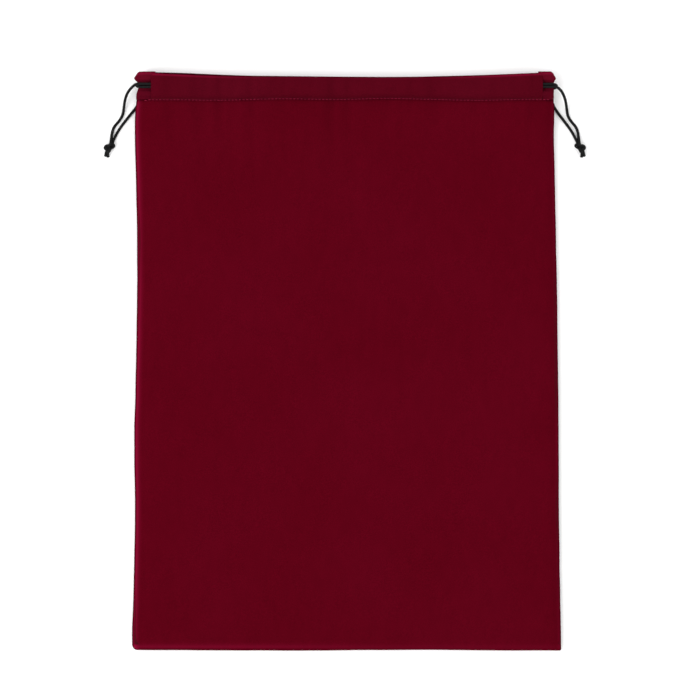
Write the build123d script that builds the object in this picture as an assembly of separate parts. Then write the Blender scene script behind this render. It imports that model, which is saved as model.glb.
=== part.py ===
from build123d import *
import math
import os

# A flat velvet gift sack with a double drawstring, lying on its back panel.
# X runs across the sack, +Y towards its mouth, +Z up. The origin is at the middle of its underside.
# All sizes are in millimetres.

# Driving dimensions of the sack
sack_length = 400.0       # bottom edge to top of the hem
bottom_width = 296.8      # across the bottom corners
mouth_width = 287.8       # across the mouth ends
cloth = 0.9               # velvet with its pile
body_thickness = 7.2      # the two panels with the sack lying slack
side_slope = 29.0         # degrees, how steeply the panels curve in to the seam

# Driving dimensions of the drawstring hem
hem_depth = 19.0          # fold to stitch line
casing_inset = 8.8        # the hem stops this far short of each mouth end
stitch_margin = 1.2
fold_radius = 1.35        # outside of the fold along the top
mouth_gap = 4.6           # free height between the front and back hems
end_rounding = 0.49       # share of its height by which each mouth end's outer edge is rounded
rise_length = 41.0        # the panels lift towards the mouth over this length
rise_flat = 7.0           # level strip beside the stitch line
back_rise = 2.6           # how far the back panel lifts clear of what the sack lies on

# Driving dimensions of the cords and knots
cord_diameter = 1.9
slide_gap = 0.3           # clearance of anything that slides past something else
hem_clearance = 0.1       # cord to hem lining
front_upper_y = 191.3     # the two cords lie side by side in each hem
front_lower_y = 188.9
back_upper_y = 191.4
back_lower_y = 188.4
left_knot_y = 148.0
right_knot_y = 147.8
knot_half_length = 4.1
knot_radius = 3.2
knot_fillet = 2.56
tail_end_y = 140.9        # where the cut ends stop

# Driving dimensions of the seams
seam_width = 12.0         # the turned-in strip along each seam
seam_end_gap = 16.0       # the side strips stop this far short of the hem's stitches
thread_inset = 8.0        # side stitches to the sack's edge
bottom_thread_inset = 9.4
thread_width = 0.6
thread_height = 0.4

# Levels and places worked out from those
bottom_y = -sack_length / 2
top_y = sack_length / 2
stitch_y = top_y - hem_depth
seam_end_y = stitch_y - seam_end_gap
seam_z = body_thickness / 2
cord_radius = cord_diameter / 2
hem_half = mouth_width / 2 - casing_inset
back_cord_low_z = cloth + 2 * hem_clearance + cord_radius
back_cord_high_z = back_cord_low_z + cord_diameter + 0.5 * slide_gap
back_hem_top = back_cord_high_z + cord_radius + hem_clearance + cloth
front_hem_bottom = back_hem_top + mouth_gap
front_cord_z = front_hem_bottom + cloth + hem_clearance + cord_radius
front_hem_top = front_cord_z + cord_radius + hem_clearance + cloth
tab_bottom = back_cord_high_z + cord_radius + slide_gap
tab_top = front_cord_z - cord_radius - slide_gap
tab_edge = mouth_width / 2
loop_x = tab_edge + slide_gap + cord_radius
front_panel_top_z = front_hem_bottom + cloth


def plate(points, z_low, z_high):
    """A flat solid with the given outline between two levels."""
    outline = make_face(Polyline(*points, close=True))
    return Pos(0, 0, z_low) * extrude(outline, z_high - z_low)


def half_width_at(y):
    """Half the sack's width, which narrows a little from its bottom edge to its mouth."""
    share = (y - bottom_y) / (stitch_y - bottom_y)
    return (bottom_width + (mouth_width - bottom_width) * share) / 2


def sack_outline(inset, y_end):
    low = half_width_at(bottom_y) - inset
    high = half_width_at(y_end) - inset
    start = bottom_y + inset
    return [(-low, start), (low, start), (high, y_end), (-high, y_end)]


def tapered_form(inset, height):
    """The sack's plan, drawn in towards the top as a soft panel is. It runs on past the mouth."""
    face = make_face(Polyline(*sack_outline(inset, top_y + hem_depth), close=True))
    return extrude(face, height, taper=90 - side_slope)


def side_profile(level, lift, y_end):
    """Everything under a line that is level along the sack and lifts towards its mouth."""
    rise_end = stitch_y - rise_flat
    rise_start = stitch_y - rise_length
    points = [(bottom_y - 1, -1), (y_end, -1), (y_end, level + lift), (rise_end, level + lift)]
    points += [(rise_start, level), (bottom_y - 1, level)]
    face = make_face(Plane.YZ * Polyline(*points, close=True))
    return Pos(-bottom_width, 0, 0) * extrude(face, 2 * bottom_width, dir=(1, 0, 0))


def half_shell(level, lift):
    """One panel above its seam plane: the outer form less the hollow under it."""
    wall = cloth / math.sin(math.radians(side_slope))
    height = level + max(lift, 0) + 1
    outer = tapered_form(0, height) & side_profile(level, lift, stitch_y)
    hollow = tapered_form(wall, height) & side_profile(level - cloth, lift, top_y)
    return outer - hollow, hollow


def front_panel_and_hollow():
    lift = front_panel_top_z - body_thickness
    shell, hollow = half_shell(seam_z, lift)
    return Pos(0, 0, seam_z) * shell, Pos(0, 0, seam_z) * hollow


def back_panel_and_hollow():
    """The back panel is turned over, and lifts off the table towards the mouth, not away from it."""
    shell, hollow = half_shell(seam_z, -back_rise)
    return Pos(0, 0, seam_z) * mirror(shell, Plane.XY), Pos(0, 0, seam_z) * mirror(hollow, Plane.XY)


def hem(z_low, z_high):
    """One folded and stitched hem, with the casing for two cords along it."""
    outer = make_face(Plane.YZ * Polyline(
        (stitch_y, z_low), (top_y, z_low), (top_y, z_high), (stitch_y, z_high), close=True))
    body = Pos(-hem_half, 0, 0) * extrude(outer, 2 * hem_half, dir=(1, 0, 0))
    fold_edges = body.edges().filter_by(Axis.X).sort_by(Axis.Y)[-2:]
    body = fillet(fold_edges, fold_radius)
    casing = Box(2 * hem_half + 2, hem_depth - stitch_margin - cloth, z_high - z_low - 2 * cloth)
    return body - Pos(0, (stitch_y + stitch_margin + top_y - cloth) / 2, (z_low + z_high) / 2) * casing


def mouth_end(side):
    """The folded end of the mouth, which a cord's loop pulls inwards. Its outer edge is rounded."""
    width = tab_edge - hem_half
    length = hem_depth - slide_gap
    height = tab_top - tab_bottom
    middle = (tab_edge + hem_half) / 2
    body = Pos(middle, top_y - length / 2, (tab_top + tab_bottom) / 2) * Box(width, length, height)
    outer_edges = body.edges().filter_by(Axis.Y).sort_by(Axis.X)[-2:]
    body = fillet(outer_edges, end_rounding * height)
    return body if side > 0 else mirror(body, Plane.YZ)


def side_allowance(hollow, side):
    """The turned-in edges of both panels, inside the sack along one side seam."""
    low = half_width_at(bottom_y)
    high = half_width_at(seam_end_y)
    points = [(low, bottom_y), (low - seam_width, bottom_y)]
    points += [(high - seam_width, seam_end_y), (high, seam_end_y)]
    strip = plate([(side * x, y) for x, y in points], seam_z - cloth, seam_z + cloth)
    return strip & hollow


def bottom_allowance(hollow):
    """The same along the bottom seam, between the two side strips."""
    half = half_width_at(bottom_y)
    end = bottom_y + seam_width
    points = [(-half, bottom_y), (half, bottom_y), (half, end), (-half, end)]
    trimmed = plate(points, seam_z - cloth, seam_z + cloth) & hollow
    for side in (-1, 1):
        trimmed = trimmed - side_allowance(hollow, side)
    return trimmed


def thread(start, end, z_low):
    """A line of stitches, as one thin raised strip."""
    line_x, line_y = end[0] - start[0], end[1] - start[1]
    length = math.hypot(line_x, line_y)
    across = (-line_y / length * thread_width / 2, line_x / length * thread_width / 2)
    points = [(start[0] + across[0], start[1] + across[1]), (end[0] + across[0], end[1] + across[1])]
    points += [(end[0] - across[0], end[1] - across[1]), (start[0] - across[0], start[1] - across[1])]
    return plate(points, z_low, z_low + thread_height)


def side_thread(side):
    start_y = bottom_y + seam_width
    end_y = seam_end_y - seam_width
    start = (side * (half_width_at(start_y) - thread_inset), start_y)
    end = (side * (half_width_at(end_y) - thread_inset), end_y)
    return thread(start, end, seam_z + cloth)


def bottom_thread():
    half = half_width_at(bottom_y) - 2 * seam_width
    line_y = bottom_y + bottom_thread_inset
    return thread((-half, line_y), (half, line_y), seam_z + cloth)


def hem_thread(half_length, z_low):
    line_y = stitch_y - thread_width
    return thread((-half_length, line_y), (half_length, line_y), z_low)


def cord_radii(points):
    """The bend at each point of a route is as large as its two runs allow."""
    radii = []
    for before, here, after in zip(points, points[1:], points[2:]):
        run_in = Vector(*here) - Vector(*before)
        run_out = Vector(*after) - Vector(*here)
        half_turn = math.radians(run_in.get_angle(run_out) / 2)
        radii.append(0.45 * min(run_in.length, run_out.length) / math.tan(half_turn))
    return radii


def cord(name, points):
    """A round cord along a hand-laid route."""
    radii = cord_radii(points)
    path = FilletPolyline(*points, radius=radii)
    section = Plane(origin=path @ 0, z_dir=path % 0) * Circle(cord_radius)
    tube = sweep(section, path=path)
    expected = math.pi * cord_radius**2 * path.length
    print(name, "length", round(path.length, 1), "volume share", round(tube.volume / expected, 4))
    print(name, "radii", [round(radius, 1) for radius in radii])
    return tube


# The left cord is knotted at the left: up the front tail, through the front hem, round the right
# mouth end, back through the back hem, under the back panel's corner and out to the knot.
left_route = [
    (-164.6, 150.4, 2.9), (-164.3, 155.6, 1.3), (-162.0, 161.4, 0.97), (-157.6, 166.6, 0.97),
    (-155.3, 172.0, 1.1), (-153.9, 178.4, 3.2), (-152.0, 184.4, 7.6),
    (-148.6, front_upper_y, front_cord_z),
    (loop_x, front_upper_y, front_cord_z), (loop_x, back_lower_y, back_cord_high_z),
    (-136.6, back_lower_y, back_cord_high_z),
    (-141.8, 182.8, 1.2), (-145.4, 175.8, 0.98), (-150.9, 169.6, 0.97), (-156.0, 163.6, 0.97),
    (-160.2, 157.2, 1.2), (-162.2, 151.0, 2.9),
]

# The right cord is its partner: knotted at the right and looped round the left mouth end.
right_route = [
    (162.3, 150.6, 2.9), (161.9, 155.4, 1.3), (159.9, 160.4, 0.97), (156.2, 164.6, 0.97),
    (153.4, 169.6, 1.1), (152.0, 175.8, 3.2), (150.8, 182.4, 7.6),
    (147.9, front_lower_y, front_cord_z),
    (-loop_x, front_lower_y, front_cord_z), (-loop_x, back_upper_y, back_cord_low_z),
    (136.8, back_upper_y, back_cord_low_z),
    (141.6, 184.8, 1.1), (143.6, 177.0, 0.98), (147.8, 170.2, 0.97), (152.4, 163.9, 0.97),
    (156.8, 157.6, 1.2), (159.7, 151.6, 2.9),
]


def knot(route, center_y):
    """The overhand knot that joins a cord's two ends, with the two cut ends below it."""
    center_x = (route[0][0] + route[-1][0]) / 2
    lump = Box(2 * knot_half_length, 2 * knot_radius, 2 * knot_radius)
    lump = fillet(lump.edges(), knot_fillet)
    end_length = center_y - tail_end_y
    for offset in (-1, 1):
        end = Rot(90, 0, 0) * Cylinder(cord_radius, end_length)
        lump = lump + Pos(offset * (cord_radius + slide_gap / 2), -end_length / 2, 0) * end
    return Pos(center_x, center_y, knot_radius) * lump


front_panel, front_hollow = front_panel_and_hollow()
back_panel, back_hollow = back_panel_and_hollow()
hollow = front_hollow + back_hollow

parts = {
    "front_panel": front_panel,
    "back_panel": back_panel,
    "front_hem": hem(front_hem_bottom, front_hem_top),
    "back_hem": hem(0, back_hem_top),
    "left_mouth_end": mouth_end(-1),
    "right_mouth_end": mouth_end(1),
    "left_seam_allowance": side_allowance(hollow, -1),
    "right_seam_allowance": side_allowance(hollow, 1),
    "bottom_seam_allowance": bottom_allowance(hollow),
    "front_hem_stitching": hem_thread(hem_half + casing_inset / 2, front_panel_top_z),
    "back_hem_stitching": hem_thread(hem_half, back_rise - thread_height),
    "left_seam_stitching": side_thread(-1),
    "right_seam_stitching": side_thread(1),
    "bottom_seam_stitching": bottom_thread(),
    "left_drawcord": cord("left_drawcord", left_route),
    "right_drawcord": cord("right_drawcord", right_route),
    "left_knot": knot(left_route, left_knot_y),
    "right_knot": knot(right_route, right_knot_y),
}

os.makedirs("parts", exist_ok=True)
for name, shape in parts.items():
    export_step(shape, f"parts/{name}.step")
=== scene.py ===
import math

import bmesh
import bpy
import numpy as np
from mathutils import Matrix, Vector, noise


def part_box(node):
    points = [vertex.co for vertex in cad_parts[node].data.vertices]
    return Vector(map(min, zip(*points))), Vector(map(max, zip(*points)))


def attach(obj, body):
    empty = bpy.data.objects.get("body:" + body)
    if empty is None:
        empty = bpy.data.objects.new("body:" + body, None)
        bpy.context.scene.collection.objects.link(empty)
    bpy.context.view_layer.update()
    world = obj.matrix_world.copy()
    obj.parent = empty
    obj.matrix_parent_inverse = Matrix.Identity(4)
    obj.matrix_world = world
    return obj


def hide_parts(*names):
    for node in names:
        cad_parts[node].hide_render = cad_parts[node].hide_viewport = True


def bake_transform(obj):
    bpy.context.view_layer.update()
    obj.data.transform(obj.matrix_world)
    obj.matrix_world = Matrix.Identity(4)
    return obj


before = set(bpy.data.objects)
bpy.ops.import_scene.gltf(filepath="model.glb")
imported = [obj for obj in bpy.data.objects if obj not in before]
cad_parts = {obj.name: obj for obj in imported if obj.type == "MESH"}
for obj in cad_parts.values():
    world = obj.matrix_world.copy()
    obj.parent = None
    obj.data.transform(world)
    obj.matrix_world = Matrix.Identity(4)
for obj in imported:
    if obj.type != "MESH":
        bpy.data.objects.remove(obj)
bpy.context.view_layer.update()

MM = 0.001

# Where the CAD model says things are, in metres
PANEL_LOW, PANEL_HIGH = (np.array(corner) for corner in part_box("front_panel"))
BACK_LOW = np.array(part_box("back_panel")[0])
FRONT_HEM_LOW, FRONT_HEM_HIGH = (np.array(corner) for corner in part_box("front_hem"))
BACK_HEM_LOW = np.array(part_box("back_hem")[0])
TAB_LOW, TAB_HIGH = (np.array(corner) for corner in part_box("right_mouth_end"))
SEAM_Z = PANEL_LOW[2]           # where the two panels meet round the sides and bottom
BOTTOM_Y = PANEL_LOW[1]
STITCH_Y = PANEL_HIGH[1]        # the line of stitches under the hem
TOP_Y = FRONT_HEM_HIGH[1]
BODY_TOP = 2 * SEAM_Z
HEM_HALF = FRONT_HEM_HIGH[0]    # half the width of the casing
HEM_THICK = FRONT_HEM_HIGH[2] - FRONT_HEM_LOW[2]
CLOTH = 0.9 * MM
CORD_RADIUS = 0.95 * MM


# ---------------------------------------------------------------- camera

PICTURE_WIDTH = 469.3 * MM      # what the picture spans at the level of the sack
VIEW_CENTRE = (-5.1 * MM, 14.9 * MM)
CAMERA_HEIGHT = 2.4


def make_camera():
    """A long lens straight above the sack, with the mouth at the top of the picture."""
    data = bpy.data.cameras.new("camera")
    data.sensor_width = 36.0
    data.lens = data.sensor_width * (CAMERA_HEIGHT - BODY_TOP) / PICTURE_WIDTH
    camera = bpy.data.objects.new("camera", data)
    camera.location = (*VIEW_CENTRE, CAMERA_HEIGHT)
    bpy.context.collection.objects.link(camera)
    bpy.context.scene.camera = camera


make_camera()


# ---------------------------------------------------------------- materials

def shader(name, **sockets):
    """A new material with these values set on its Principled shader."""
    material = bpy.data.materials.new(name)
    material.use_nodes = True
    principled = material.node_tree.nodes["Principled BSDF"]
    for socket, value in sockets.items():
        principled.inputs[socket.replace("_", " ")].default_value = value
    return material, material.node_tree, principled


def add_node(tree, kind, **settings):
    node = tree.nodes.new(kind)
    for key, value in settings.items():
        if hasattr(node, key):
            setattr(node, key, value)
        else:
            node.inputs[key.replace("_", " ")].default_value = value
    return node


ALONG_SACK = (1.0, 0.5, 1.0)    # stretches noise to twice its length along the sack
RAMP_SPAN = (0.35, 0.65)        # the part of a noise's range that a colour ramp uses


def noise_node(tree, scale, detail=2.0, stretch=(1, 1, 1)):
    """Noise in the sack's own coordinates, in features per metre."""
    coordinates = add_node(tree, "ShaderNodeTexCoord")
    mapping = add_node(tree, "ShaderNodeMapping")
    mapping.inputs["Scale"].default_value = stretch
    texture = add_node(tree, "ShaderNodeTexNoise", Scale=scale, Detail=detail)
    tree.links.new(coordinates.outputs["Object"], mapping.inputs["Vector"])
    tree.links.new(mapping.outputs["Vector"], texture.inputs["Vector"])
    return texture


def mix_colours(tree, factor, low, high):
    ramp = add_node(tree, "ShaderNodeValToRGB")
    for element, position, colour in zip(ramp.color_ramp.elements, RAMP_SPAN, (low, high)):
        element.position = position
        element.color = (*colour, 1)
    tree.links.new(factor, ramp.inputs["Fac"])
    return ramp


def multiply_colours(tree, first, second):
    mix = add_node(tree, "ShaderNodeMix", data_type="RGBA", blend_type="MULTIPLY")
    mix.inputs["Factor"].default_value = 1.0
    tree.links.new(first, mix.inputs["A"])
    tree.links.new(second, mix.inputs["B"])
    return mix.outputs["Result"]


def add_bump(tree, height, principled, strength, distance, normal=None):
    bump = add_node(tree, "ShaderNodeBump", Strength=strength, Distance=distance)
    tree.links.new(height, bump.inputs["Height"])
    if normal is not None:
        tree.links.new(normal, bump.inputs["Normal"])
    tree.links.new(bump.outputs["Normal"], principled.inputs["Normal"])
    return bump.outputs["Normal"]


PAINTED_SHEEN_HIGHLIGHT = (0.205, 0.004, 0.027)    # the colour of the painted sheen highlight on rolled edges and folds
SHEEN_TINT = (0.85, 0.025, 0.13, 1)
CLOUD_SCALE, NAP_SCALE, TUFT_SCALE = 13, 150, 2300      # features per metre
CLOUD_DARK, CLOUD_LIGHT = (0.97, 0.95, 0.95), (1.03, 1.15, 1.09)        # shares of red, green and blue
NAP_DARK, NAP_LIGHT = (0.97, 0.97, 0.97), (1.03, 1.03, 1.03)
TUFT_DARK, TUFT_LIGHT = (0.82, 0.82, 0.82), (1.14, 1.14, 1.14)


def velvet(name, colour, sheen):
    """Short-pile velvet: a faintly cloudy nap and single tufts. Painted light and shade are kept on the
    mesh as a
    point attribute: over 1 it mixes towards a painted sheen highlight, and under 1 it darkens as painted
    shade."""
    material, tree, principled = shader(
        name, Roughness=0.95, Sheen_Weight=sheen, Sheen_Roughness=0.45, Sheen_Tint=SHEEN_TINT,
        Specular_IOR_Level=0.0)
    low = [share * c for share, c in zip(CLOUD_DARK, colour)]
    high = [share * c for share, c in zip(CLOUD_LIGHT, colour)]
    clouds = noise_node(tree, CLOUD_SCALE, detail=2.0)
    base = mix_colours(tree, clouds.outputs["Fac"], low, high)
    nap = noise_node(tree, NAP_SCALE, detail=3.0, stretch=ALONG_SACK)
    streaks = mix_colours(tree, nap.outputs["Fac"], NAP_DARK, NAP_LIGHT)
    tufts = noise_node(tree, TUFT_SCALE, detail=1.0)
    speckle = mix_colours(tree, tufts.outputs["Fac"], TUFT_DARK, TUFT_LIGHT)
    shaded = multiply_colours(tree, base.outputs["Color"], streaks.outputs["Color"])
    shaded = multiply_colours(tree, shaded, speckle.outputs["Color"])
    pile = add_node(tree, "ShaderNodeAttribute", attribute_name="pile").outputs["Fac"]
    shade = add_node(tree, "ShaderNodeMath", operation="MINIMUM")
    shade.inputs[1].default_value = 1.0
    highlight_share = add_node(tree, "ShaderNodeMath", operation="SUBTRACT", use_clamp=True)
    highlight_share.inputs[1].default_value = 1.0
    tree.links.new(pile, shade.inputs[0])
    tree.links.new(pile, highlight_share.inputs[0])
    shaded = multiply_colours(tree, shaded, shade.outputs["Value"])
    lighter = add_node(tree, "ShaderNodeMix", data_type="RGBA")
    tree.links.new(highlight_share.outputs["Value"], lighter.inputs["Factor"])
    tree.links.new(shaded, lighter.inputs["A"])
    lighter.inputs["B"].default_value = (*PAINTED_SHEEN_HIGHLIGHT, 1)
    tree.links.new(lighter.outputs["Result"], principled.inputs["Base Color"])
    soft = add_bump(tree, nap.outputs["Fac"], principled, 0.08, 0.3 * MM)
    add_bump(tree, tufts.outputs["Fac"], principled, 0.35, 0.12 * MM, soft)
    return material


KNIT_SCALE = 1500
KNIT_DARK, KNIT_LIGHT = 0.8, 1.15       # shares of the colour
STRAND_DARK, STRAND_LIGHT = 0.6, 1.6


def scaled(colour, share):
    return [share * c for c in colour]


def backing(name, colour):
    """The knitted wrong side of the velvet."""
    material, tree, principled = shader(name, Roughness=0.9, Specular_IOR_Level=0.05)
    knit = noise_node(tree, KNIT_SCALE, detail=1.0, stretch=ALONG_SACK)
    tone = mix_colours(
        tree, knit.outputs["Fac"], scaled(colour, KNIT_DARK), scaled(colour, KNIT_LIGHT))
    tree.links.new(tone.outputs["Color"], principled.inputs["Base Color"])
    add_bump(tree, knit.outputs["Fac"], principled, 0.4, 0.15 * MM)
    return material


def fibre(name, colour, roughness, scale, gloss):
    """Thread or cord: fine fibres along it, a little lighter where they stand up."""
    material, tree, principled = shader(name, Roughness=roughness, Specular_IOR_Level=gloss)
    strands = noise_node(tree, scale, detail=2.0)
    tone = mix_colours(
        tree, strands.outputs["Fac"], scaled(colour, STRAND_DARK), scaled(colour, STRAND_LIGHT))
    tree.links.new(tone.outputs["Color"], principled.inputs["Base Color"])
    add_bump(tree, strands.outputs["Fac"], principled, 0.5, 0.1 * MM)
    return material


# The hem and the mouth ends are the same velvet: the hem's copy is a little darker as painted shade, the
# mouth ends' copy lighter as painted light.
VELVET = velvet("burgundy_velvet", (0.0735, 0.0008, 0.0053), sheen=0.10)
SHADED_HEM_VELVET = velvet("burgundy_velvet_hem_shaded", (0.066, 0.0014, 0.0062), sheen=0.08)
LIT_END_VELVET = velvet("burgundy_velvet_end_lit", (0.088, 0.0022, 0.0095), sheen=0.10)
BACKING = backing("velvet_backing", (0.06, 0.0012, 0.005))
THREAD = fibre("sewing_thread", (0.16, 0.008, 0.026), roughness=0.8, scale=3000, gloss=0.0)
CORD = fibre("black_cord", (0.0014, 0.0015, 0.0016), roughness=0.6, scale=2600, gloss=0.15)


# ---------------------------------------------------------------- mesh helpers

def mesh_object(name, vertices, faces, material, pile=1.0):
    data = bpy.data.meshes.new(name)
    data.from_pydata([tuple(map(float, v)) for v in vertices], [], [tuple(f) for f in faces])
    # The painted light and shade that the velvet's colour reads: 1 where none is painted.
    attribute = data.attributes.new("pile", "FLOAT", "POINT")
    attribute.data.foreach_set("value", np.broadcast_to(pile, len(data.vertices)).astype(np.float32))
    data.materials.append(material)
    data.shade_smooth()
    piece = bpy.data.objects.new(name, data)
    bpy.context.collection.objects.link(piece)
    return piece


def grid_faces(rows, columns, wrap=False):
    """The quads of a grid of points kept row by row. With wrap, the last column joins the first."""
    faces = []
    for i in range(rows - 1):
        for j in range(columns if wrap else columns - 1):
            k = (j + 1) % columns
            faces.append((i * columns + j, i * columns + k, (i + 1) * columns + k, (i + 1) * columns + j))
    return faces


def tube_faces(rings, sides):
    """The faces of a tube kept ring by ring, with both of its ends closed."""
    last = (rings - 1) * sides
    ends = [tuple(range(sides))[::-1], tuple(range(last, last + sides))]
    return grid_faces(rings, sides, wrap=True) + ends


def smooth(t):
    """Eases from 0 to 1 as t does."""
    t = np.clip(t, 0, 1)
    return t * t * (3 - 2 * t)


def through(points, at):
    """A smooth line through a few given points, read at these places."""
    xs, ys = np.array(points, float).T
    slopes = np.gradient(ys, xs)
    at = np.clip(np.asarray(at, float), xs[0], xs[-1])
    i = np.clip(np.searchsorted(xs, at, side="right") - 1, 0, len(xs) - 2)
    width = xs[i + 1] - xs[i]
    t = (at - xs[i]) / width
    value = (2 * t**3 - 3 * t**2 + 1) * ys[i] + (t**3 - 2 * t**2 + t) * width * slopes[i]
    return value + (3 * t**2 - 2 * t**3) * ys[i + 1] + (t**3 - t**2) * width * slopes[i + 1]


def through_all(along, points, at):
    """The same for points in the plane or in space, by the distance along them."""
    return np.stack(
        [through(np.stack([along, column], axis=1), at) for column in points.T], axis=1)


SEED_STEP = 7.3                 # how far apart two seeds lie in the noise


def waves(x, y, size, seed):
    """Smooth seeded noise from -1 to 1 over the sack, with bumps about this size."""
    flat = np.broadcast_arrays(x, y)
    points = zip(flat[0].ravel() / size, flat[1].ravel() / size)
    values = [noise.noise(Vector((px, py, SEED_STEP * seed))) for px, py in points]
    return np.array(values).reshape(flat[0].shape)


# ---------------------------------------------------------------- cords

LEFT_ROUTE = [
    (-0.1638, 0.1498, 0.0038), (-0.1631, 0.1538, 0.0022), (-0.1628, 0.1582, 0.00097),
    (-0.1612, 0.1626, 0.00097), (-0.1578, 0.1661, 0.00097), (-0.1551, 0.1706, 0.0011),
    (-0.1543, 0.1762, 0.0026), (-0.1534, 0.1812, 0.0058), (-0.1514, 0.1855, 0.0096),
    (-0.1487, 0.1886, 0.0118), (-0.1453, 0.1913, 0.0128), (-0.1408, 0.1911, 0.0126),
    (0.1338, 0.1911, 0.0126),
    (0.1449, 0.1911, 0.0126), (0.1449, 0.1884, 0.0041), (0.1338, 0.1884, 0.0041),
    (-0.1286, 0.1884, 0.0041), (-0.1366, 0.1884, 0.0041), (-0.1416, 0.1830, 0.0012),
    (-0.1444, 0.1776, 0.00098), (-0.1484, 0.1726, 0.00097), (-0.1526, 0.1674, 0.00097),
    (-0.1566, 0.1622, 0.00097), (-0.1600, 0.1568, 0.0010), (-0.1626, 0.1506, 0.0020),
]
RIGHT_ROUTE = [
    (0.1612, 0.1498, 0.0038), (0.1605, 0.1538, 0.0022), (0.1603, 0.1580, 0.00097),
    (0.1588, 0.1622, 0.00097), (0.1556, 0.1656, 0.00097), (0.1530, 0.1698, 0.0011),
    (0.1522, 0.1752, 0.0026), (0.1513, 0.1800, 0.0058), (0.1496, 0.1840, 0.0094),
    (0.1474, 0.1872, 0.0117), (0.1444, 0.1893, 0.0127), (0.1401, 0.1891, 0.0126),
    (-0.1338, 0.1891, 0.0126),
    (-0.14515, 0.1891, 0.0126), (-0.14515, 0.1914, 0.00205), (-0.1338, 0.1914, 0.00205),
    (0.1286, 0.1914, 0.00205), (0.1366, 0.1914, 0.00205), (0.1408, 0.1850, 0.0011),
    (0.1424, 0.1780, 0.00098), (0.1458, 0.1724, 0.00097), (0.1498, 0.1672, 0.00097),
    (0.1536, 0.1622, 0.00097), (0.1572, 0.1568, 0.0010), (0.1600, 0.1506, 0.0020),
]


def centreline(name, route):
    """The points of one smooth curve that has this route as its control points."""
    data = bpy.data.curves.new(name, "CURVE")
    data.dimensions = "3D"
    data.resolution_u = 24
    spline = data.splines.new("NURBS")
    spline.points.add(len(route) - 1)
    for point, place in zip(spline.points, route):
        point.co = (*place, 1)
    spline.order_u = 3
    spline.use_endpoint_u = True
    curve = bpy.data.objects.new(name, data)
    bpy.context.collection.objects.link(curve)
    evaluated = curve.evaluated_get(bpy.context.evaluated_depsgraph_get())
    line = bpy.data.meshes.new_from_object(evaluated)
    points = np.array([v.co for v in line.vertices])
    bpy.data.objects.remove(curve)
    return points


def arc_lengths(points):
    return np.concatenate([[0], np.cumsum(np.linalg.norm(np.diff(points, axis=0), axis=1))])


def read_line(points, at):
    """Points on a line at these distances along it."""
    along = arc_lengths(points)
    return np.stack([np.interp(at, along, points[:, axis]) for axis in range(3)], axis=1)


def line_frames(points):
    """Two directions square to a line at each of its points, which turn as little as they can."""
    tangents = np.gradient(points, axis=0)
    tangents /= np.linalg.norm(tangents, axis=1)[:, None]
    first = np.cross(tangents[0], (0.3, 0.2, 1.0))
    firsts = []
    for tangent in tangents:
        first = first - tangent * (first @ tangent)
        first = first / np.linalg.norm(first)
        firsts.append(first)
    firsts = np.array(firsts)
    return firsts, np.cross(tangents, firsts)


BRAID_PITCH = 2.4 * MM
BRAID_DEPTH = 0.12
CORD_SIDES = 16


def braided_tube(points, radius, flare=None):
    """Vertices and faces of a round braided cord along these points, with closed ends."""
    along = arc_lengths(points)[:, None]
    turn = np.linspace(0, 2 * np.pi, CORD_SIDES, endpoint=False)[None, :]
    twist = 2 * np.pi * along / BRAID_PITCH
    weave = np.maximum(np.cos(4 * turn + twist), np.cos(4 * turn - twist))
    size = radius * (1 + BRAID_DEPTH * (weave - weave.mean()))
    if flare is not None:
        size = size * flare[:, None]
    first, second = line_frames(points)
    rings = points[:, None, :] + size[..., None] * (
        np.cos(turn)[..., None] * first[:, None, :] + np.sin(turn)[..., None] * second[:, None, :])
    return rings.reshape(-1, 3), tube_faces(len(points), CORD_SIDES)


def join_tubes(name, tubes, material):
    vertices, faces = [], []
    start = 0
    for places, tube in tubes:
        vertices.append(places)
        faces += [tuple(i + start for i in face) for face in tube]
        start += len(places)
    return mesh_object(name, np.concatenate(vertices), faces, material)


RING_STEP = 0.3 * MM            # between rings where the cord shows
HIDDEN_STEP = 3.0 * MM          # and inside the casing
CASING_MOUTH = 4 * MM           # how far into the casing the cord still shows


def ring_places(points):
    """Distances along a cord for its rings, close together outside the casing."""
    along = arc_lengths(points)
    place, places = 0.0, []
    while place < along[-1]:
        places.append(place)
        x = np.interp(place, along, points[:, 0])
        place += RING_STEP if abs(x) > HEM_HALF - CASING_MOUTH else HIDDEN_STEP
    places.append(along[-1])
    return np.array(places)


LEFT_KNOT_CENTRE = (-165.0 * MM, 147.5 * MM, 3.1 * MM)
RIGHT_KNOT_CENTRE = (162.2 * MM, 147.5 * MM, 3.1 * MM)
LEFT_CUT_ENDS = [(-167.2, 142.0), (-165.4, 141.4)]      # x, y in millimetres
RIGHT_CUT_ENDS = [(164.4, 142.0), (162.6, 141.4)]
CUT_END_Z = 1.05 * MM
KNOT_SCALE = 0.80 * MM
KNOT_RINGS = 120
KNOT_TURN = math.radians(12)    # one lobe stands out beside the cord as an ear
KNOT_STRETCH = 1.12
KNOT_LEAN = 0.30
KNOT_DEPTH = 1.45
KNOT_CORD, EAR_CORD, CUT_CORD = 1.15, 0.9, 0.95         # shares of the cord's radius
CUT_FLARE = 0.18                # how much wider a cut end frays
EAR = [  # in millimetres from the knot's centre: x towards the sack, y and z
    (1.0, 1.9, 0.6), (2.9, 2.7, 0.2), (3.9, 1.5, 0.0), (2.9, 0.4, -0.2), (1.0, 0.5, -0.6)]
END_RINGS = 16


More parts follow.
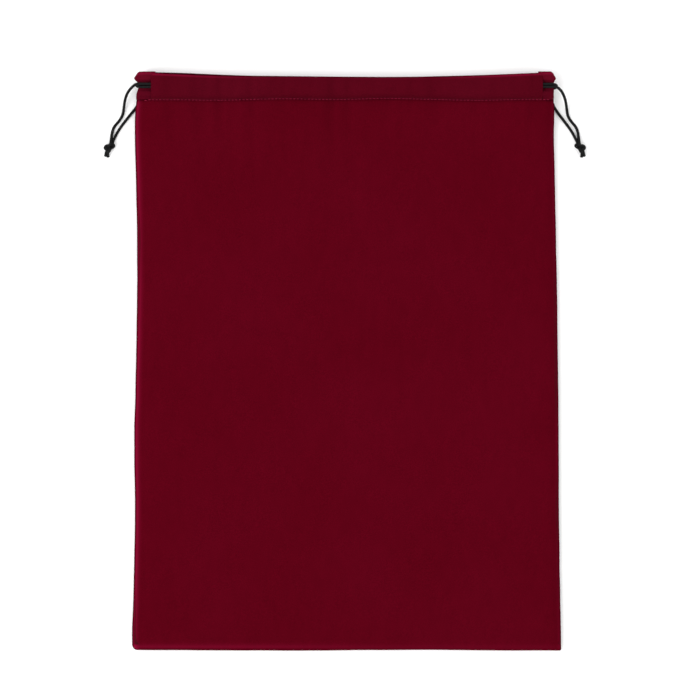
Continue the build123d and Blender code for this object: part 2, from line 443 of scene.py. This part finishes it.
def cut_end(start, tip, highlight_share):
    """A short end of cord below a knot, cut off and frayed a little wider."""
    start, tip = np.array(start), np.array(tip)
    middle = (start + tip) / 2 + (highlight_share, 0, 0.4 * MM)
    share = np.linspace(0, 1, END_RINGS)[:, None]
    path = (1 - share) ** 2 * start + 2 * share * (1 - share) * middle + share**2 * tip
    return braided_tube(path, CUT_CORD * CORD_RADIUS, 1 + CUT_FLARE * smooth((share[:, 0] - 0.6) / 0.4))


def ear(centre, side):
    """The small bight of cord that stands out of a knot on the sack's side."""
    points = np.array([(-side * x, y, z) for x, y, z in EAR]) * MM + centre
    along = arc_lengths(points)
    at = np.linspace(0, along[-1], END_RINGS * 2)
    return braided_tube(through_all(along, points, at), EAR_CORD * CORD_RADIUS)


def make_knot(name, centre, side, tips):
    """A tight overhand knot of the doubled cord, with an ear on the sack's side and two cut ends."""
    turn = np.linspace(0, 2 * np.pi, KNOT_RINGS)
    across = np.sin(turn) + 2 * np.sin(2 * turn)
    along = np.cos(turn) - 2 * np.cos(2 * turn)
    x = math.cos(KNOT_TURN) * across - math.sin(KNOT_TURN) * along
    y = KNOT_STRETCH * (math.sin(KNOT_TURN) * across + math.cos(KNOT_TURN) * along)
    x = x + KNOT_LEAN * y
    z = -KNOT_DEPTH * np.sin(3 * turn)
    loop = KNOT_SCALE * np.stack([-side * x, y, z], axis=1) + centre
    tubes = [braided_tube(loop, KNOT_CORD * CORD_RADIUS), ear(centre, side)]
    for tip in tips:
        start = np.array(centre) + ((tip[0] * MM - centre[0]) * 0.45, -1.4 * MM, -0.2 * MM)
        tubes.append(cut_end(start, [tip[0] * MM, tip[1] * MM, CUT_END_Z], side * 0.4 * MM))
    return join_tubes(name, tubes, CORD)


def make_cord(node, route, body):
    points = centreline(node + "_line", route)
    path = read_line(points, ring_places(points))
    vertices, faces = braided_tube(path, CORD_RADIUS)
    piece = mesh_object(node + "_braid", vertices, faces, CORD)
    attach(piece, body)
    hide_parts(node)


def make_cords():
    left_knot = make_knot("left_knot_tied", LEFT_KNOT_CENTRE, -1, LEFT_CUT_ENDS)
    right_knot = make_knot("right_knot_tied", RIGHT_KNOT_CENTRE, 1, RIGHT_CUT_ENDS)
    for knot, node, body in (
            (left_knot, "left_knot", "left_pull"), (right_knot, "right_knot", "right_pull")):
        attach(knot, body)
        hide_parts(node)
    make_cord("left_drawcord", LEFT_ROUTE, "left_pull")
    make_cord("right_drawcord", RIGHT_ROUTE, "right_pull")


make_cords()


# ---------------------------------------------------------------- halves

# Pulling a cord draws one mouth end inwards, as that mouth end rides on the pull's body. The cloth of the
# panels and hems does not follow it.
PULL_OF_SIDE = {-1: "right_pull", 1: "left_pull"}


def gather(piece):
    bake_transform(piece)


def close_openings(data):
    """Caps the cut edge of a half, so that the cloth stays a closed solid."""
    cut = bmesh.new()
    cut.from_mesh(data)
    open_edges = [e for e in cut.edges if e.is_boundary]
    bmesh.ops.holes_fill(cut, edges=open_edges, sides=0)
    cut.to_mesh(data)
    cut.free()


def split_halves(full, names):
    """Cuts a piece that spans the sack into its left and right halves, keeping its shading whole."""
    data = full.data
    normals = np.array([v.normal for v in data.vertices])
    coordinates = np.array([v.co for v in data.vertices])
    pile = np.array([v.value for v in data.attributes["pile"].data])
    halves = []
    for side, name in zip((-1, 1), names):
        faces = [p for p in data.polygons if side * p.center.x > 0]
        used = sorted({v for p in faces for v in p.vertices})
        place = {v: i for i, v in enumerate(used)}
        half = mesh_object(
            name, coordinates[used], [[place[v] for v in p.vertices] for p in faces], data.materials[0],
            pile[used])
        for material in data.materials[1:]:
            half.data.materials.append(material)
        half.data.polygons.foreach_set("material_index", [p.material_index for p in faces])
        close_openings(half.data)
        half.data.normals_split_custom_set_from_vertices([tuple(n) for n in normals[used]])
        halves.append(half)
    bpy.data.objects.remove(full)
    return halves


# ---------------------------------------------------------------- the sack's outline

LEFT_EDGE = [  # y, x in millimetres, down the left edge of the lying sack
    (-200, -148.6), (-188, -148.7), (-165, -147.9), (-137, -147.3), (-100, -146.7), (-55, -147.3),
    (-20, -146.5), (20, -145.6), (70, -145.2), (111, -145.7), (139, -146.4), (171, -146.6),
    (177, -146.1), (185, -145.2)]
RIGHT_EDGE = [
    (-200, 148.5), (-165, 147.8), (-110, 146.9), (-55, 146.7), (0, 146.1), (56, 145.4), (111, 144.3),
    (139, 143.7), (155, 143.4), (171, 143.6), (185, 142.9)]
LEFT_CORNER = 3.6 * MM          # the left bottom corner is soft, the right one sharp
RIGHT_CORNER = 1.2 * MM
EDGE_WOBBLE = 0.18 * MM
BOTTOM_SWAY = 0.25 * MM


def side_edge(side, y):
    """Where the sack's side edge lies at each y."""
    points, radius = (LEFT_EDGE, LEFT_CORNER) if side < 0 else (RIGHT_EDGE, RIGHT_CORNER)
    edge = through(points, y / MM) * MM + side * EDGE_WOBBLE * waves(side, y, 17 * MM, 3)
    depth = np.clip(radius - (y - BOTTOM_Y), 0, radius)
    return edge - side * (radius - np.sqrt(radius**2 - depth**2))


def bottom_edge(x):
    sway = BOTTOM_SWAY * np.sin(x / (31 * MM))
    return BOTTOM_Y - BOTTOM_SWAY + sway + EDGE_WOBBLE * waves(x, 0, 25 * MM, 5)


# ---------------------------------------------------------------- panels

ROUNDING = 10.0 * MM            # how far in from the seam the panel comes level
COLUMN_STEPS = np.array([0, 0.12, 0.4, 0.8, 1.3, 1.9, 2.6, 3.5, 4.6, 6.0, 7.8, 10.5]) * MM
CENTRE_COLUMNS = 120
ROWS = 150


def across(y):
    """Points across the sack at one height, close together at its edges."""
    left, right = side_edge(-1, y), side_edge(1, y)
    inner = COLUMN_STEPS[-1]
    left_middle = np.linspace(left + inner, 0, CENTRE_COLUMNS)[1:]
    right_middle = np.linspace(0, right - inner, CENTRE_COLUMNS)[1:-1]
    return np.concatenate([left + COLUMN_STEPS, left_middle, right_middle, right - COLUMN_STEPS[::-1]])


# Painted highlight and shade as the velvet rolls over each edge: distance in from it in mm, share of its
# colour
LEFT_EDGE_PAINTED_LIGHT = [
    (0, 0.4), (0.5, 0.7), (1.0, 1.15), (1.6, 1.65), (2.3, 1.42), (3.0, 1.25), (3.8, 1.12),
    (4.8, 1.02), (8, 1)]
BOTTOM_EDGE_PAINTED_LIGHT = [
    (0, 0.75), (0.8, 0.95), (1.6, 1.2), (2.4, 1.3), (3.4, 1.18), (4.6, 1.05), (6, 1.0), (9, 1.0)]
RIGHT_EDGE_PAINTED_LIGHT = [(0, 0.45), (0.6, 0.8), (1.3, 1.14), (2.0, 1.06), (3, 1.0), (7, 1.0)]
BOTTOM_HIGHLIGHT_FADE = 0.65              # how much of the bottom edge's painted highlight is lost towards the right


def panel_pile(x, y):
    """Painted light and shade where the velvet rolls over its edges: painted highlights along the left
    and bottom edges, a fainter one along the right, each with a painted dark line at the very edge.
    """
    left = through(LEFT_EDGE_PAINTED_LIGHT, (x - side_edge(-1, y)) / MM) - 1
    right = through(RIGHT_EDGE_PAINTED_LIGHT, (side_edge(1, y) - x) / MM) - 1
    bottom = through(BOTTOM_EDGE_PAINTED_LIGHT, (y - BOTTOM_Y) / MM) - 1
    fade = 1 - BOTTOM_HIGHLIGHT_FADE * smooth((x + 100 * MM) / (160 * MM))
    return 1 + left + right + bottom * fade


def panel_points():
    """A panel's points, row by row from the bottom edge to the stitch line: x, y, and how far each
    has risen from the seam, from 0 at the edge to 1."""
    steps = np.linspace(COLUMN_STEPS[-1], STITCH_Y - BOTTOM_Y, ROWS)[1:]
    rises = np.concatenate([COLUMN_STEPS, steps])
    rows = []
    for rise in rises:
        y0 = BOTTOM_Y + rise
        x = across(y0)
        share = (STITCH_Y - y0) / (STITCH_Y - BOTTOM_Y)
        y = y0 + (bottom_edge(x) - BOTTOM_Y) * share**6
        side_room = np.minimum(x - side_edge(-1, y0), side_edge(1, y0) - x)
        room = np.minimum(side_room, ROUNDING) / ROUNDING
        low = min(rise, ROUNDING) / ROUNDING
        crown = np.sqrt(np.clip(1 - (1 - room) ** 2, 0, 1)) * np.sqrt(max(1 - (1 - low) ** 2, 0))
        rows.append(np.stack([x, y, crown], axis=1))
    return np.array(rows)


STITCH_BOW = [  # x, y in millimetres: how the stitch line wanders from straight
    (-150, -0.2), (-115, -0.2), (-90, -0.5), (-45, 0.5), (-8, 0.0), (30, 0.7), (62, 0.0), (90, -0.55),
    (115, -0.1), (150, -0.1)]


def stitch_bow(x):
    return through(STITCH_BOW, x / MM) * MM


LIFT_START, LIFT_LENGTH = 48 * MM, 41 * MM      # below the stitch line, and how long the rise is


def lift_of(y):
    """The share of the mouth's lift that a panel has reached at y."""
    return smooth((y - (STITCH_Y - LIFT_START)) / LIFT_LENGTH)


PLEAT_SIZE = 6.5 * MM
PLEAT_SPREAD = 0.0006           # how much the gathers fan out with each millimetre down the sack
PLEAT_STRETCH = 0.06            # how little they change along their length
PLEAT_DEPTH = 2.1 * MM
PLEAT_FADE = 40 * MM
PLEAT_SHADE = 0.22              # how much painted shade darkens the velvet down in a gather


def pleats(x, y, fade):
    """Faint gathers that run down from the hem."""
    lean = x * (1 + PLEAT_SPREAD * (TOP_Y - y) / MM)
    fine = waves(lean, y * PLEAT_STRETCH, PLEAT_SIZE, 11)
    return fine * np.exp(-(TOP_Y - y) / fade)


# Painted shade in the hollows of the gathers.
def pleat_shade(x, y):
    return 1 + PLEAT_SHADE * np.minimum(pleats(x, y, PLEAT_FADE), 0)


SEAM_DROP = 0.5 * MM
SEAM_SWELL = 0.7 * MM
SEAM_WAVE = 45 * MM
SEAM_REACH = 60 * MM            # below the stitch line, over which the seam comes level


def seam_height(x, y):
    """The side and bottom seams rise and fall a little on what the sack lies on."""
    away = smooth((STITCH_Y - y) / SEAM_REACH)
    return SEAM_Z - SEAM_DROP + SEAM_SWELL * waves(x, y, SEAM_WAVE, 8) * away


BROAD_SIZE, SMALL_SIZE = 95 * MM, 33 * MM       # how far apart the cloth's own waves are
BROAD_WAVE, SMALL_WAVE = 1.3 * MM, 0.45 * MM    # and how deep
GROOVE_WIDTH, GROOVE_DEPTH = 1.1 * MM, 0.55 * MM
FRONT_DROP = 0.3 * MM           # how far the front panel lies below the top of its solid
BACK_RISE = 2.6 * MM            # how far the back panel lies above its solid's underside at the stitches


def make_panel(name, front):
    points = panel_points()
    x, y, crown = points[..., 0], points[..., 1], points[..., 2]
    seam = seam_height(x, y)
    soft = BROAD_WAVE * waves(x, y, BROAD_SIZE, 2) + SMALL_WAVE * waves(x, y, SMALL_SIZE, 4)
    soft = soft * smooth((STITCH_Y - y) / (30 * MM))
    near_stitches = smooth((y - STITCH_Y + 40 * MM) / (40 * MM))
    groove = np.exp(-((y - STITCH_Y) / GROOVE_WIDTH) ** 2)
    if front:
        level = BODY_TOP + (PANEL_HIGH[2] - BODY_TOP) * lift_of(y)
        level = level - (FRONT_DROP + GROOVE_DEPTH * groove) + soft
        level = level + PLEAT_DEPTH * pleats(x, y, PLEAT_FADE) * (1 - 0.6 * groove)
        z = seam + (level - seam) * crown
    else:
        level = (BACK_LOW[2] + BACK_RISE) * lift_of(y)
        z = np.maximum(seam - (seam - level) * crown, 0)
    vertices = np.stack([x, y + stitch_bow(x) * near_stitches, z], axis=-1).reshape(-1, 3)
    faces = grid_faces(points.shape[0], points.shape[1])
    if not front:
        faces = [f[::-1] for f in faces]
    # Painted highlights and shade along the edges, and painted shade in the gathers.
    pile = panel_pile(x, y) * pleat_shade(x, y)
    panel = mesh_object(name, vertices, faces, VELVET, pile.ravel())
    panel.data.materials.append(BACKING)
    thicken(panel, CLOTH)
    return split_halves(panel, (f"{name}_left", f"{name}_right"))


def thicken(piece, thickness):
    """Gives a sheet the cloth's thickness, inwards, with its wrong side in the second material."""
    modifier = piece.modifiers.new("cloth", "SOLIDIFY")
    modifier.thickness = thickness
    modifier.offset = -1
    modifier.use_even_offset = False
    modifier.material_offset = 1
    bake_modifiers(piece)


def bake_modifiers(piece):
    """Swaps a piece's mesh for the one its modifiers make of it."""
    evaluated = piece.evaluated_get(bpy.context.evaluated_depsgraph_get())
    data = bpy.data.meshes.new_from_object(evaluated)
    piece.modifiers.clear()
    piece.data = data


def finish_half(piece, side, slot, *nodes):
    """Hides the CAD nodes a half stands for and bakes its placing into its mesh.
    The slot is not used.
    """
    if nodes:
        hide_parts(*nodes)
    gather(piece)


for panel_name, is_front in (("front_panel", True), ("back_panel", False)):
    for side, half in zip((-1, 1), make_panel(panel_name, is_front)):
        finish_half(half, side, "velvet", panel_name)


# ---------------------------------------------------------------- hems

FRONT_FOLD = [  # x, y in millimetres along the top of the front hem, which dips below the back one
    (-144, 199.3), (-128, 198.5), (-101, 197.2), (-75, 196.4), (-46, 196.1), (0, 195.6), (40, 195.6),
    (66, 196.0), (92, 197.0), (120, 198.2), (144, 199.3)]
BACK_FOLD = [
    (-144, 200.2), (-115, 199.5), (-101, 198.9), (-74, 197.8), (-40, 197.3), (0, 196.9), (40, 196.8),
    (66, 197.3), (92, 198.0), (120, 199.1), (144, 200.2)]
HEM_COLUMNS = 150               # in each half
HEM_END = 5 * MM                # over which the hem comes down to the mouth end beside the cords
HEM_END_DROP = 0.1              # the share of its thickness that it comes down
CORD_BAND = (4.2 * MM, 15.4 * MM)       # up from the stitch line, where the hem stays full over the cords
GATHER_DEPTH = 1.8 * MM
GATHER_RISE = 0.45              # so that the gathers only rise from the plain hem
HEM_PLEAT_FADE = 30 * MM
FRONT_PROFILE = [  # distance up from the stitch line and height over the hem's underside
    (-0.3, 0.15), (0.35, 0.75), (1.4, 2.1), (3.2, 3.25), (5.6, 3.78), (8.0, 3.88), (11.0, 3.88),
    (14.0, 3.75), (16.4, 3.35), (18.1, 2.7), (18.9, 1.9), (18.6, 1.1), (17.4, 0.45), (15.2, 0.08),
    (12.0, 0.0), (8.0, 0.0), (4.0, 0.05), (1.6, 0.1), (0.0, 0.15)]
BACK_PROFILE = [
    (0.0, 2.65), (0.7, 2.2), (1.8, 1.2), (3.4, 0.45), (5.6, 0.08), (8.0, 0.0), (11.0, 0.0),
    (14.0, 0.05), (16.4, 0.5), (18.1, 1.5), (18.9, 2.9), (18.8, 4.2), (17.6, 5.3), (15.0, 5.9),
    (12.0, 6.0), (8.0, 5.9), (4.0, 5.1), (1.6, 4.2), (0.0, 3.6)]


PROFILE_POINTS = 64
FOLD_UP, FOLD_WIDTH = 17.9 * MM, 0.7 * MM       # where the painted highlight on the front fold lies, up from the stitch line
FOLD_LIGHT, FOLD_END_LIGHT = 0.08, 0.5          # how much lighter the painted highlight is, and how much more near its ends
BACK_PAINTED_SHADE, BACK_END_SHADE = 0.75, 0.35          # the back hem's painted shadow, and how much more of it near its ends


def smooth_profile(points):
    """The hem's outline through a few given points, evenly spaced along its length."""
    points = np.array(points, float)
    along = arc_lengths(points)
    return through_all(along, points, np.linspace(0, along[-1], PROFILE_POINTS))


def hem_pile(x, up, front):
    """Painted light and shade on the hems: a painted highlight along the front fold, strongest near its
    ends, and painted shadow over the back hem.
    """
    near_ends = smooth((np.abs(x) - 55 * MM) / (65 * MM))
    if front:
        fold = np.exp(-((up - FOLD_UP) / FOLD_WIDTH) ** 2)
        return 1 + (FOLD_LIGHT + FOLD_END_LIGHT * near_ends) * fold
    return BACK_PAINTED_SHADE - BACK_END_SHADE * near_ends + 0 * up


def make_hem(name, profile, base_z, fold, ripple):
    """One folded hem, swept across the mouth, dipping a little in the middle."""
    outline = smooth_profile(profile) * MM
    columns = np.linspace(-HEM_HALF, HEM_HALF, 2 * HEM_COLUMNS + 1)
    up = outline[:, 0][None, :]
    x = columns[:, None] + 0 * up
    share = up / (TOP_Y - STITCH_Y)
    dip = TOP_Y - through(fold, x / MM) * MM
    y = STITCH_Y + up - dip * share + stitch_bow(x) * (1 - share)
    height = outline[:, 1][None, :]
    at_end = smooth((np.abs(x) - HEM_HALF + HEM_END) / HEM_END)
    low, high = CORD_BAND
    beside_cords = 1 - smooth((up - low) / (2 * MM)) * smooth((high - up) / (2 * MM))
    height = height * (1 - HEM_END_DROP * at_end * beside_cords)
    gathers = GATHER_RISE + pleats(x, STITCH_Y, HEM_PLEAT_FADE)
    risen = ripple * gathers * (height / HEM_THICK) * (1 - at_end)
    z = base_z + height + risen
    vertices = np.stack([x, y, np.maximum(z, 0)], axis=-1).reshape(-1, 3)
    faces = grid_faces(len(columns), outline.shape[0])
    # Painted highlight on the front fold, painted shadow on the back hem, painted shade in the gathers.
    pile = hem_pile(x, up, name.startswith("front")) * pleat_shade(x, STITCH_Y)
    hem = mesh_object(name, vertices, faces, SHADED_HEM_VELVET, pile.ravel())
    hem.data.materials.append(BACKING)
    return hem


def make_hems():
    front = make_hem("front_hem_fold", FRONT_PROFILE, FRONT_HEM_LOW[2], FRONT_FOLD, GATHER_DEPTH)
    back = make_hem("back_hem_fold", BACK_PROFILE, BACK_HEM_LOW[2], BACK_FOLD, 0)
    front.data.flip_normals()
    for hem, node in ((front, "front_hem"), (back, "back_hem")):
        thicken(hem, CLOTH)
        for side, half in zip((-1, 1), split_halves(hem, (f"{node}_left", f"{node}_right"))):
            finish_half(half, side, "velvet_hem", node)


make_hems()


# ---------------------------------------------------------------- mouth ends

LEFT_END_EDGE = [  # y, x down the outer edge of the left mouth end, pinched where the cord goes round
    (180.6, -145.6), (184.0, -145.4), (186.6, -144.8), (188.0, -144.2), (192.0, -144.2), (193.2, -145.4),
    (194.9, -146.9), (197.4, -145.7), (199.0, -144.7), (200.0, -143.4)]
RIGHT_END_EDGE = [
    (180.6, 142.9), (186.0, 142.9), (187.4, 143.0), (192.2, 143.0), (193.2, 143.3),
    (194.9, 144.3), (197.4, 143.2), (199.0, 142.3), (200.0, 141.2)]
END_ROWS = 56
END_SIDES = 44
UNDER_HEM = 3 * MM              # how far a mouth end runs in under the hem
PRESSED_FROM, PRESSED_TO = 185.4 * MM, 194.6 * MM       # the band that the cords press flat
PRESS_BLEND = 2.2 * MM
END_FULLNESS, INNER_FULLNESS = 1.1 * MM, 1.75 * MM      # at the outer edge, and more of it by the hem
END_SINK = 0.35 * MM            # how far it dips at the stitches
END_ROUNDING = 2.6 * MM         # how far down from the top it rounds over
# Painted light and shade on the mouth ends: a painted highlight along the top fold, painted shade low
# down by the stitches and in towards the hem.
END_TOP_LIGHT, END_LOW_SHADE, END_INNER_SHADE = 0.5, 0.2, 0.22
TOP_LIGHT_Y, TOP_LIGHT_WIDTH = 198.4 * MM, 0.8 * MM
LOW_SHADE_Y = 188 * MM          # where the shade towards the stitches sets in


def make_mouth_end(side):
    """A soft folded end of the mouth, pressed in under the cords and full beside them."""
    edge_points = LEFT_END_EDGE if side < 0 else RIGHT_END_EDGE
    inner = side * (HEM_HALF - UNDER_HEM)
    heights = np.linspace(STITCH_Y - 0.3 * MM, TOP_Y, END_ROWS)
    turn = np.linspace(0, 2 * np.pi, END_SIDES, endpoint=False)
    across_share = 0.5 + 0.5 * np.sign(np.cos(turn)) * np.abs(np.cos(turn)) ** 0.5
    rise_share = np.sign(np.sin(turn)) * np.abs(np.sin(turn)) ** 0.7
    rows = []
    for y in heights:
        edge = float(through(edge_points, y / MM)) * MM
        pressed = smooth((y - PRESSED_FROM) / PRESS_BLEND) * smooth((PRESSED_TO - y) / PRESS_BLEND)
        fold = smooth((TOP_Y - y) / END_ROUNDING) ** 0.5
        start = smooth((y - STITCH_Y) / (3 * MM))
        full = (1 - pressed) * (END_FULLNESS + INNER_FULLNESS * (1 - across_share)) * start
        full = full - (1 - start) * END_SINK
        low = TAB_LOW[2] - 0.4 * np.maximum(full, 0)
        high = TAB_HIGH[2] + full
        middle = (low + high) / 2
        z = middle + (high - low) / 2 * max(fold, 0.2) * rise_share
        x = inner + (edge - inner) * across_share
        rows.append(np.stack([x, np.full_like(x, y), z], axis=1))
    rows = np.array(rows)
    rows[..., 2] += 0.15 * MM * waves(rows[..., 0], rows[..., 1], 4 * MM, 31)
    # Painted highlight along the top fold, painted shade towards the stitches and in towards the hem.
    top_light = END_TOP_LIGHT * np.exp(-((rows[..., 1] - TOP_LIGHT_Y) / TOP_LIGHT_WIDTH) ** 2)
    low_shade = END_LOW_SHADE * smooth((LOW_SHADE_Y - rows[..., 1]) / (3 * MM))
    pile = 1 + top_light - low_shade - END_INNER_SHADE * (1 - across_share) ** 2
    faces = tube_faces(END_ROWS, END_SIDES)
    name = "left_mouth_end" if side < 0 else "right_mouth_end"
    if side > 0:
        faces = [f[::-1] for f in faces]
    piece = mesh_object(name + "_cloth", rows.reshape(-1, 3), faces, LIT_END_VELVET, pile.ravel())
    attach(piece, PULL_OF_SIDE[side])
    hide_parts(name)


for side in (-1, 1):
    make_mouth_end(side)


# ---------------------------------------------------------------- stitches

STITCH_PITCH = 2.5 * MM
STITCH_LENGTH = 2.15 * MM
STITCH_RADIUS = 0.3 * MM
STITCH_SIDES = 8
STITCH_RINGS = 7
STITCH_DIVE = 0.3 * MM
STITCH_DROP = 0.45 * MM         # how far below the line under the hem the stitches run
FRONT_SINK = 0.55 * MM          # how far the front stitches lie below the top of the panel's solid
BACK_STITCH_RISE = 2.5 * MM
FRONT_STITCH_HALF = 141 * MM    # the front stitches run on past the ends of the hem
START_X, START_DIP = -137.5 * MM, 1.2 * MM


def stitch(place, direction):
    """One stitch: a short thread that dives into the cloth at both ends."""
    direction = np.array(direction) / np.linalg.norm(direction)
    sideways = np.cross((0, 0, 1), direction)
    up = np.cross(direction, sideways)
    vertices = []
    for share in np.linspace(-1, 1, STITCH_RINGS):
        centre = np.array(place) + direction * share * STITCH_LENGTH / 2 - up * STITCH_DIVE * share**2
        size = STITCH_RADIUS * math.sqrt(max(1 - share**2, 0.06))
        for turn in np.linspace(0, 2 * np.pi, STITCH_SIDES, endpoint=False):
            vertices.append(centre + size * (math.cos(turn) * sideways + math.sin(turn) * up))
    return np.array(vertices), tube_faces(STITCH_RINGS, STITCH_SIDES)


def hem_stitch_line(x):
    """The hem's line of stitches wanders a little, and dips where it starts at the left."""
    dip = START_DIP * smooth((START_X - x) / (3 * MM))
    return STITCH_Y - STITCH_DROP + float(stitch_bow(x)) - dip


def make_hem_stitches(side, node, z_of, half_length):
    stitches = []
    x = side * STITCH_PITCH / 2
    while abs(x) < half_length:
        y = hem_stitch_line(x)
        stitches.append(stitch((x, y, z_of(x, y)), (1, 0.03 * math.sin(x / MM), 0)))
        x += side * STITCH_PITCH
    name = f"{node}_{'left' if side < 0 else 'right'}"
    piece = join_tubes(name, stitches, THREAD)
    finish_half(piece, side, "sewing_thread", node)


def front_stitch_z(x, y):
    """Down in the groove of the front panel, and up and down over its gathers."""
    rise = 0.4 * PLEAT_DEPTH * float(pleats(np.array(x), np.array(y), PLEAT_FADE))
    return PANEL_HIGH[2] - FRONT_SINK + rise


def back_stitch_z(x, y):
    return BACK_LOW[2] + BACK_STITCH_RISE


for side in (-1, 1):
    make_hem_stitches(side, "front_hem_stitching", front_stitch_z, FRONT_STITCH_HALF)
    make_hem_stitches(side, "back_hem_stitching", back_stitch_z, HEM_HALF)


# ---------------------------------------------------------------- inside the sack

ALLOWANCE_ACROSS = np.array([1.6, 4.0, 7.0, 10.5]) * MM         # in from the sack's side edge
ALLOWANCE_THICK = 1.6 * MM      # two layers of cloth pressed together
ALLOWANCE_TOP = 165 * MM
ALLOWANCE_ROWS = 140
ALLOWANCE_LIFT, THREAD_LIFT = 0.6 * MM, 0.75 * MM       # above the height of the seam
SEAM_STITCHES_IN = 8 * MM
SEAM_STITCHES_TOP = 153 * MM


def make_side_allowance(side):
    """The turned-in edges of both panels along one side seam, with the stitches that join them."""
    name = "left" if side < 0 else "right"
    y = np.linspace(BOTTOM_Y + 4 * MM, ALLOWANCE_TOP, ALLOWANCE_ROWS)
    edge = side_edge(side, y)
    rows = []
    for edge_x, row_y in zip(edge, y):
        x = edge_x - side * ALLOWANCE_ACROSS
        rows.append(np.stack([x, np.full_like(x, row_y), seam_height(x, row_y) + ALLOWANCE_LIFT], axis=1))
    rows = np.array(rows)
    faces = grid_faces(len(y), len(ALLOWANCE_ACROSS))
    if side > 0:
        faces = [f[::-1] for f in faces]
    strip = mesh_object(f"{name}_seam_allowance_cloth", rows.reshape(-1, 3), faces, BACKING)
    strip.data.flip_normals()
    thicken(strip, ALLOWANCE_THICK)
    finish_half(strip, side, "velvet", f"{name}_seam_allowance")
    stitches = []
    for place in np.arange(BOTTOM_Y + 12 * MM, SEAM_STITCHES_TOP, STITCH_PITCH):
        x = float(side_edge(side, np.array(place))) - side * SEAM_STITCHES_IN
        height = float(seam_height(np.array(x), place)) + THREAD_LIFT
        stitches.append(stitch((x, place, height), (0, 1, 0)))
    thread = join_tubes(f"{name}_seam_stitches", stitches, THREAD)
    finish_half(thread, side, "sewing_thread", f"{name}_seam_stitching")


for side in (-1, 1):
    make_side_allowance(side)


def repaint(node, material):
    """Gives a carried-over CAD piece this script's material."""
    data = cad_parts[node].data
    data.materials.clear()
    data.materials.append(material)


repaint("bottom_seam_allowance", BACKING)
repaint("bottom_seam_stitching", THREAD)


# ---------------------------------------------------------------- floor and light

FLOOR_HALF = 6.0
FLOOR_GAP = 0.05 * MM
FLOOR_DARK, FLOOR_LIGHT = (0.93, 0.93, 0.93), (0.95, 0.95, 0.95)
SKY_STRENGTH = 1.15


def make_floor():
    material, tree, principled = shader("pale_floor", Roughness=0.9)
    mottle = noise_node(tree, 3)
    tone = mix_colours(tree, mottle.outputs["Fac"], FLOOR_DARK, FLOOR_LIGHT)
    tree.links.new(tone.outputs["Color"], principled.inputs["Base Color"])
    corners = [(FLOOR_HALF * x, FLOOR_HALF * y, 0) for x, y in ((-1, -1), (1, -1), (1, 1), (-1, 1))]
    floor = mesh_object("floor", corners, [(0, 1, 2, 3)], material)
    floor.location.z = -FLOOR_GAP


def area_light(name, place, size, power):
    data = bpy.data.lights.new(name, "AREA")
    data.shape = "DISK"
    data.size = size
    data.energy = power
    light = bpy.data.objects.new(name, data)
    light.location = place
    light.rotation_euler = (-Vector(place)).to_track_quat("-Z", "Y").to_euler()
    bpy.context.collection.objects.link(light)


def make_light():
    world = bpy.data.worlds.new("studio")
    world.use_nodes = True
    background = world.node_tree.nodes["Background"]
    background.inputs["Color"].default_value = (1, 1, 1, 1)
    background.inputs["Strength"].default_value = SKY_STRENGTH
    bpy.context.scene.world = world
    area_light("key", place=(-1.3, -0.5, 1.7), size=1.2, power=20)
    area_light("fill", place=(1.0, 0.9, 2.0), size=1.6, power=7)
    bpy.context.scene.view_settings.view_transform = "Standard"


make_floor()
make_light()
